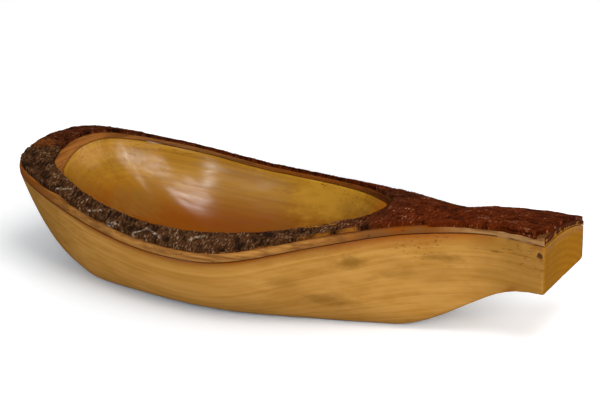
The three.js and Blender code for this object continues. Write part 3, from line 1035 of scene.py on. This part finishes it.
@dataclass(frozen=True)
class BarkPlate:
    """One plate of rough bark, with its relief carved into the mesh.

    Attributes:
        node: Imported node.
        piece: Name of the piece.
        cuts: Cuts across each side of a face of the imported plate.
        seed: Shift of the patterns.
        lump: Height of the broad lumps.
        lump_size: Size of a lump.
        stroke: Height of the strokes across the log.
        stroke_angle: Direction of the strokes from the log's length.
        stroke_gap: Width of a stroke and its groove.
        stroke_length: Length of a stroke.
        wobble: How far the strokes wobble, in gaps.
        groove_slope: How steeply a stroke falls to its groove.
        stroke_middle: Height of a stroke that counts as the plate's surface, as a share.
        crumb: Height of the crumbs on the strokes, as a share.
        crumb_size: Size of a crumb.
        levels: Middle of the relief as a share, and what a stroke, a lump and a crumb add to it.
        ridge_height: Height of the long ridges.
        ragged: How far the edge crumbles back.
        crumbled: How far it does so on average, as a share.
        crumbling: How uneven that share is.
        edge_faces: How much a face points up or down where the edge ends, and where it is no edge.
        top_faces: How much a face points up where the relief begins, and where it is whole.
        seat: How far the underside sinks to close the seam with the bast.
        drape: How far the outer edge may hang down over the bast.
        draped: How far it does so on average, as a share.
        draping: How uneven that share is.
        drape_out: How far the edge moves outward there, as a share.
        drape_faces: How much a face points outward where the edge starts to hang, and where it is all edge.
        turns: Where the bark starts to turn red, and where it is red, along the bowl.
        turning: How far that place shifts.
        ridges: Long pale ridges.
        bare_spots: Places without rough bark.
        chips: Places where the edge is chipped down to the bast.
        bare_level: Share of the relief's level that such places lose.
        bare_height: Share of its height that they lose.
    """

    node: str
    piece: str
    cuts: int = 15
    seed: float = 0.0
    lump: float = 0.7 * MM
    lump_size: float = 9 * MM
    stroke: float = 0.7 * MM
    stroke_angle: float = 78.0
    stroke_gap: float = 2.1 * MM
    stroke_length: float = 6 * MM
    wobble: Waves = ((0.7, 6 * MM),)
    groove_slope: float = 2.4
    stroke_middle: float = 0.4
    crumb: float = 0.25
    crumb_size: float = 1.6 * MM
    levels: tuple[float, float, float, float] = (0.42, 0.3, 0.3, 0.12)
    ridge_height: float = 0.8 * MM
    ragged: float = 1.1 * MM
    crumbled: float = 0.5
    crumbling: Waves = ((0.9, 4.5 * MM), (0.5, 1.7 * MM))
    edge_faces: Span = (0.35, 0.75)
    top_faces: Span = (-0.4, 0.3)
    seat: float = 0.6 * MM
    drape: float = 0.0
    draped: float = 0.9
    draping: Waves = ((0.25, 7 * MM),)
    drape_out: float = 0.45
    drape_faces: Span = (0.3, 0.8)
    turns: Span = (82 * MM, 112 * MM)
    turning: Waves = ((14 * MM, 9 * MM),)
    ridges: tuple[BarkStreak, ...] = ()
    bare_spots: tuple[BareSpot, ...] = ()
    chips: tuple[BarkStreak, ...] = ()
    bare_level: float = 0.4
    bare_height: float = 0.7

    def build(self, finish: BarkFinish, strokes: NodeTree) -> Object:
        """Build and dress the plate.

        Args:
            finish: Bark finish.
            strokes: The bark's stroke group.

        Returns:
            The piece.
        """
        mesh = node_copy(self.node)
        bmesh.ops.subdivide_edges(mesh, edges=mesh.edges, cuts=self.cuts, use_grid_fill=True)
        mesh.normal_update()
        store(mesh, turn=self.turned, bare=lambda corner: self.marked(corner.co, self.bare_spots),
              chip=lambda corner: self.marked(corner.co, self.chips),
              ridge=lambda corner: self.marked(corner.co, self.ridges))
        layer = mesh.verts.layers.float.new("relief")
        moves = []
        for corner in mesh.verts:
            height, level = self.relief(corner.co)
            top = smoothstep(*self.top_faces, corner.normal.z)
            bare = self.marked(corner.co, self.bare_spots + self.chips)
            corner[layer] = level * (1 - self.bare_level * bare)
            rise = corner.normal * (height * top * (1 - self.bare_height * bare))
            moves.append(rise + self.crumble(corner) + self.settle(corner))
        for corner, move in zip(mesh.verts, moves):
            corner.co += move
        return finished_piece(mesh, self.piece, self.node, finish.material(strokes))

    def settle(self, corner: BMVert) -> Vector:
        """Give the move that seats a corner of the underside, or drapes one of the outer edge."""
        under = smoothstep(*UNDERSIDE, -corner.normal.z)
        outward = smoothstep(*self.drape_faces, -corner.normal.y)
        hang = self.drape * (self.draped + uneven(corner.co, self.draping))
        return Vector((0.0, -self.drape_out * hang * outward, -self.seat * under - hang * outward))

    def crumble(self, corner: BMVert) -> Vector:
        """Give the inward move of a corner on the plate's broken edge."""
        side = 1 - smoothstep(*self.edge_faces, abs(corner.normal.z))
        share = self.crumbled + uneven(corner.co, self.crumbling)
        return corner.normal * (-self.ragged * side * max(share, 0.0))

    def turned(self, corner: BMVert) -> float:
        """Say how red the bark is at a corner."""
        return smoothstep(*self.turns, corner.co.x + uneven(corner.co, self.turning))

    @staticmethod
    def marked(place: Vector, marks: Iterable[BareSpot | BarkStreak]) -> float:
        """Say how much of a point belongs to the strongest of some marks."""
        return max((mark.cover(place) for mark in marks), default=0.0)

    def relief(self, place: Vector) -> tuple[float, float]:
        """Work out the bark's relief.

        Args:
            place: A point of the plate.

        Returns:
            The height above the plate, and the same as a share from groove to ridge.
        """
        angle = math.radians(self.stroke_angle)
        along = place.x * math.cos(angle) + place.y * math.sin(angle)
        across = place.y * math.cos(angle) - place.x * math.sin(angle)
        shifted = Vector((place.x, place.y, place.z + self.seed))
        row = across / self.stroke_gap + uneven(shifted, self.wobble)
        lines = noise.noise(Vector((along / self.stroke_length, row, self.seed)))
        crumbs = noise.noise(shifted / self.crumb_size)
        lump = noise.noise(shifted / self.lump_size)
        stroke = 1 - self.groove_slope * abs(lines) - self.stroke_middle
        height = self.lump * lump + self.stroke * (stroke + self.crumb * crumbs)
        height += self.ridge_height * self.marked(place, self.ridges)
        middle, by_stroke, by_lump, by_crumb = self.levels
        level = middle + by_stroke * stroke + by_lump * lump + by_crumb * crumbs
        return height, min(max(level, 0.0), 1.0)


@dataclass(frozen=True)
class PinKnot:
    """The small knot beside the handle's end.

    Attributes:
        node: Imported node.
        join_angle: Greatest angle between two triangles that form one quad.
        sharp_angle: Edges that turn by more than this are rounded.
        rounding: Radius of that rounding.
        segments: Faces across it.
    """

    node: str = "pin_knot"
    join_angle: float = 1.0
    sharp_angle: float = 60.0
    rounding: float = 0.3 * MM
    segments: int = 3

    def build(self, finish: KnotFinish) -> Object:
        """Build and dress the knot."""
        mesh = node_copy(self.node, self.join_angle)
        sharp = [edge for edge in mesh.edges if edge.calc_face_angle(0.0) > math.radians(self.sharp_angle)]
        bmesh.ops.bevel(mesh, geom=sharp, offset=self.rounding, segments=self.segments, profile=0.5,
                        affect="EDGES", material=-1)
        return finished_piece(mesh, "pin_knot_heart", self.node, finish.material())


@dataclass(frozen=True)
class Lamp:
    """One soft box.

    Attributes:
        name: Its name.
        place: Its position.
        size: Its two sides.
        power: Its power, in watts.
        role: Whether it lights the bowl, or shows in the lacquer.
    """

    name: str
    place: Place
    size: tuple[float, float]
    power: float
    role: LampRole

    def hang(self, target: Vector) -> None:
        """Hang the lamp so that it faces a point."""
        data = bpy.data.lights.new(self.name, "AREA")
        data.shape = "RECTANGLE"
        data.size, data.size_y = self.size
        data.energy = self.power
        lamp = bpy.data.objects.new(self.name, data)
        lamp.location = self.place
        lamp.rotation_euler = (target - Vector(self.place)).to_track_quat("-Z", "Y").to_euler()
        lamp.visible_glossy = self.role is LampRole.HIGHLIGHT
        lamp.visible_diffuse = self.role is LampRole.FILL
        bpy.context.scene.collection.objects.link(lamp)


@dataclass(frozen=True)
class Studio:
    """Plain soft studio: pale floor, broad light and a camera at the photograph's angle.

    Attributes:
        camera_place: Camera position.
        camera_target: Point in the middle of the frame.
        lens: Focal length, in millimetres.
        sensor: Width of the sensor, in millimetres.
        floor_size: Side of the floor.
        floor_drop: How far the floor lies below the base.
        floor_colour: Colour of the floor as the camera sees it.
        floor_bounce: Colour with which it lights the bowl.
        floor_glow: Light that it adds for the camera alone beside the bowl, weaker and bluer than further
            out, which paints a soft, cool shadow there.
        floor_far_glow: The same away from the bowl, for a white ground.
        floor_shadow_middle: Middle of that painted shadow.
        floor_fades: Where the first glow ends and the second one is reached, from there.
        floor_roughness: Roughness of the floor.
        sky: Strength of the even light from all round.
        sky_mirrored: Share of that light which the lacquer reflects.
        lamps: Soft boxes.
        lamp_target: Point that they face.
    """

    camera_place: Vector = field(default_factory=lambda: Vector((0.7242, -1.6513, 0.7237)))
    camera_target: Vector = field(default_factory=lambda: Vector((0.0103, -0.0015, 0.0694)))
    lens: float = 156.0
    sensor: float = 36.0
    floor_size: float = 14.0
    floor_drop: float = 0.1 * MM
    floor_colour: Colour = (0.95, 0.95, 0.95)
    floor_bounce: Colour = (0.5, 0.5, 0.5)
    floor_glow: Colour = (0.01, 0.05, 0.085)
    floor_far_glow: Colour = (0.32, 0.32, 0.32)
    floor_shadow_middle: Place = (-0.05, 0.05, 0.0)
    floor_fades: Span = (0.12, 0.26)
    floor_roughness: float = 0.9
    sky: float = 0.42
    sky_mirrored: float = 0.13
    lamps: tuple[Lamp, ...] = ()
    lamp_target: Vector = field(default_factory=lambda: Vector((0.0, 0.0, 0.05)))

    def camera(self) -> None:
        """Place the camera."""
        data = bpy.data.cameras.new("camera")
        data.lens = self.lens
        data.sensor_width = self.sensor
        camera = bpy.data.objects.new("camera", data)
        camera.location = self.camera_place
        view = self.camera_target - self.camera_place
        camera.rotation_euler = view.to_track_quat("-Z", "Y").to_euler()
        bpy.context.scene.collection.objects.link(camera)
        bpy.context.scene.camera = camera

    def floor(self) -> None:
        """Lay the floor, whose glow for the camera is weaker round the bowl and paints a shadow there."""
        mesh = bmesh.new()
        bmesh.ops.create_grid(mesh, x_segments=1, y_segments=1, size=self.floor_size / 2)
        bmesh.ops.translate(mesh, verts=mesh.verts, vec=(0, 0, -self.floor_drop))
        data = bpy.data.meshes.new("floor")
        mesh.to_mesh(data)
        mesh.free()
        material, canvas, shader = new_material("floor")
        seen = canvas.add("LightPath").outputs["Is Camera Ray"]
        # Painted shadow: the glow is weakest near the bowl.
        away = canvas.measure("DISTANCE", canvas.place(), self.floor_shadow_middle)
        glow = canvas.mix(canvas.ease(away, *self.floor_fades), self.floor_glow, self.floor_far_glow)
        canvas.fill(shader, {
            "Base Color": canvas.mix(seen, self.floor_bounce, self.floor_colour),
            "Emission Color": canvas.mix(seen, (0.0, 0.0, 0.0), glow),
            "Emission Strength": 1.0,
            "Roughness": self.floor_roughness,
            "Specular IOR Level": 0.0,
        })
        data.materials.append(material)
        floor = bpy.data.objects.new("floor", data)
        bpy.context.scene.collection.objects.link(floor)

    def world(self) -> None:
        """Fill the room with even light, and show it white to the camera."""
        world = bpy.data.worlds.new("studio")
        world.use_nodes = True
        bpy.context.scene.world = world
        canvas = NodeCanvas(world.node_tree)
        path = canvas.add("LightPath").outputs
        dimmed = self.sky * (self.sky_mirrored - 1)
        strength = canvas.math("MULTIPLY_ADD", path["Is Glossy Ray"], dimmed, self.sky)
        strength = canvas.math("MULTIPLY_ADD", path["Is Camera Ray"], 1 - self.sky, strength)
        canvas.fill(world.node_tree.nodes["Background"], {"Color": (1, 1, 1, 1), "Strength": strength})

    def build(self) -> None:
        """Set up the whole studio."""
        bpy.context.scene.view_settings.view_transform = "Standard"
        self.camera()
        self.floor()
        self.world()
        for lamp in self.lamps:
            lamp.hang(self.lamp_target)
        log.info("studio ready")


# The lamps of this studio, and the marks of this bowl at their places, with patches of painted light and
# shade among the wood's stains.
LAMPS = (
    Lamp("overhead_fill", (0.6, -0.3, 1.8), (1.3, 1.0), 13.0, LampRole.FILL),
    Lamp("right_fill", (1.9, -1.1, 1.1), (1.2, 0.8), 20.0, LampRole.FILL),
    Lamp("front_fill", (0.1, -2.0, 0.9), (1.6, 1.0), 16.5, LampRole.FILL),
    Lamp("overhead_box", (0.55, -0.42, 1.5), (1.9, 0.5), 19.0, LampRole.HIGHLIGHT),
    Lamp("left_box", (-0.5, -0.62, 1.7), (0.6, 1.2), 24.0, LampRole.HIGHLIGHT),
    Lamp("back_box", (0.9, 0.4, 1.45), (0.8, 0.8), 11.0, LampRole.HIGHLIGHT),
    Lamp("left_strip", (-1.56, -1.76, 1.55), (0.13, 1.5), 16.0, LampRole.HIGHLIGHT),
)
GREY = BarkColours(
    groove=(0.015, 0.006, 0.002),
    body=(0.058, 0.021, 0.006),
    ridge=(0.19, 0.098, 0.044),
    painted_glint=(0.42, 0.31, 0.22),
)
DARK = BarkColours(
    groove=(0.02, 0.005, 0.001),
    body=(0.074, 0.015, 0.0035),
    ridge=(0.12, 0.032, 0.009),
    painted_glint=(0.36, 0.23, 0.16),
)
RED = BarkColours(
    groove=(0.034, 0.005, 0.0005),
    body=(0.09, 0.013, 0.001),
    ridge=(0.17, 0.031, 0.004),
    painted_glint=(0.5, 0.32, 0.2),
)
GREY_BARK = BarkFinish(BarkKind.GREY, GREY, RED)
RED_BARK = BarkFinish(BarkKind.RED, DARK, RED)
BOW_SPOT = BareSpot((-206 * MM, 3 * MM), (15 * MM, 10 * MM), 0.6)
NEAR_CHIPS = (
    BarkStreak((41 * MM, -76 * MM), (62 * MM, -67.5 * MM), 2.2 * MM),
    BarkStreak((62 * MM, -67.5 * MM), (78 * MM, -61 * MM), 1.8 * MM),
    BarkStreak((20 * MM, -83.5 * MM), (34 * MM, -79 * MM), 1.2 * MM),
    BarkStreak((42 * MM, -65 * MM), (62 * MM, -59 * MM), 0.9 * MM),
)
WOOD_STAINS_AND_PAINTED_LIGHT = (
    # Painted light: a pale patch in the right of the hollow, where the lamps give that wall too little
    # light.
    StainOrPaintedLight((24 * MM, 46 * MM, 56 * MM), (60 * MM, 36 * MM, 34 * MM), 0.75, (0.55, 0.28, 0.025)),
    StainOrPaintedLight((75 * MM, -62 * MM, 52 * MM), (17 * MM, 30 * MM, 7 * MM), 0.8),
    StainOrPaintedLight((138 * MM, -39 * MM, 57 * MM), (22 * MM, 30 * MM, 5 * MM), 0.75),
    StainOrPaintedLight((30 * MM, -77 * MM, 34 * MM), (16 * MM, 30 * MM, 6 * MM), 0.3),
    StainOrPaintedLight((60 * MM, -66 * MM, 21 * MM), (30 * MM, 30 * MM, 8 * MM), 0.75),
    StainOrPaintedLight((104 * MM, -51 * MM, 44 * MM), (20 * MM, 30 * MM, 5 * MM), 0.4),
    StainOrPaintedLight((38 * MM, 33 * MM, 56 * MM), (16 * MM, 14 * MM, 8 * MM), 0.5),
    StainOrPaintedLight((-150 * MM, 28 * MM, 36 * MM), (45 * MM, 45 * MM, 18 * MM), 0.75),
    StainOrPaintedLight((-153 * MM, 53 * MM, 65 * MM), (20 * MM, 18 * MM, 10 * MM), 0.6),
    # Painted sheen: a pale patch on the hollow's far wall by the bow.
    StainOrPaintedLight((-182 * MM, 24 * MM, 72 * MM), (26 * MM, 40 * MM, 15 * MM), 0.8, (0.55, 0.28, 0.075)),
    StainOrPaintedLight((193 * MM, -36 * MM, 66 * MM), (19 * MM, 30 * MM, 1.5 * MM), 0.7),
    # Painted shade: the handle darker, where less light falls on it.
    StainOrPaintedLight((195 * MM, -38 * MM, 60 * MM), (60 * MM, 50 * MM, 60 * MM), 0.45),
    # Painted shade: the bow darker, as it turns away from the light.
    StainOrPaintedLight((-195 * MM, -30 * MM, 40 * MM), (80 * MM, 70 * MM, 60 * MM), 0.6),
)
NEAR_RIDGES = (
    BarkStreak((-168 * MM, -48 * MM), (-154 * MM, -47.5 * MM)),
    BarkStreak((-132 * MM, -65 * MM), (-121 * MM, -64 * MM)),
    BarkStreak((-114 * MM, -72.5 * MM), (-103 * MM, -74 * MM)),
    BarkStreak((-88 * MM, -79.5 * MM), (-79 * MM, -75.5 * MM)),
    BarkStreak((-79 * MM, -75.5 * MM), (-65 * MM, -81.5 * MM)),
    BarkStreak((-42 * MM, -82 * MM), (-30 * MM, -78.5 * MM)),
)


def main() -> None:
    """Build the bowl and its studio, and report each piece."""
    logging.basicConfig(level=logging.INFO, format="%(name)s %(message)s")
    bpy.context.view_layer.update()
    Studio(lamps=LAMPS).build()
    grain = LogGrain().group()
    strokes = BarkStrokes().group()
    near = BarkPlate("outer_bark_near", "bark_plate_near", turns=(55 * MM, 105 * MM), ridges=NEAR_RIDGES,
                     bare_spots=(BOW_SPOT,), chips=NEAR_CHIPS)
    far = BarkPlate("outer_bark_far", "bark_plate_far", seed=3.7, stroke=0.5 * MM,
                    turns=(-150 * MM, -60 * MM), bare_spots=(BOW_SPOT,))
    handle = BarkPlate("outer_bark_handle", "bark_plate_handle", seed=8.1, stroke=0.35 * MM, lump=0.45 * MM,
                       ragged=0.5 * MM, drape=2.6 * MM)
    pieces = [
        CarvedBody().build(LacqueredWood(stains_and_painted_light=WOOD_STAINS_AND_PAINTED_LIGHT), grain),
        BastRing().build(BastFinish()),
        near.build(GREY_BARK, strokes),
        far.build(RED_BARK, strokes),
        handle.build(RED_BARK, strokes),
        PinKnot().build(KnotFinish()),
    ]
    for piece in pieces:
        log.info("%s: %d faces", piece.name, len(piece.data.polygons))


if __name__ == "__main__":
    main()
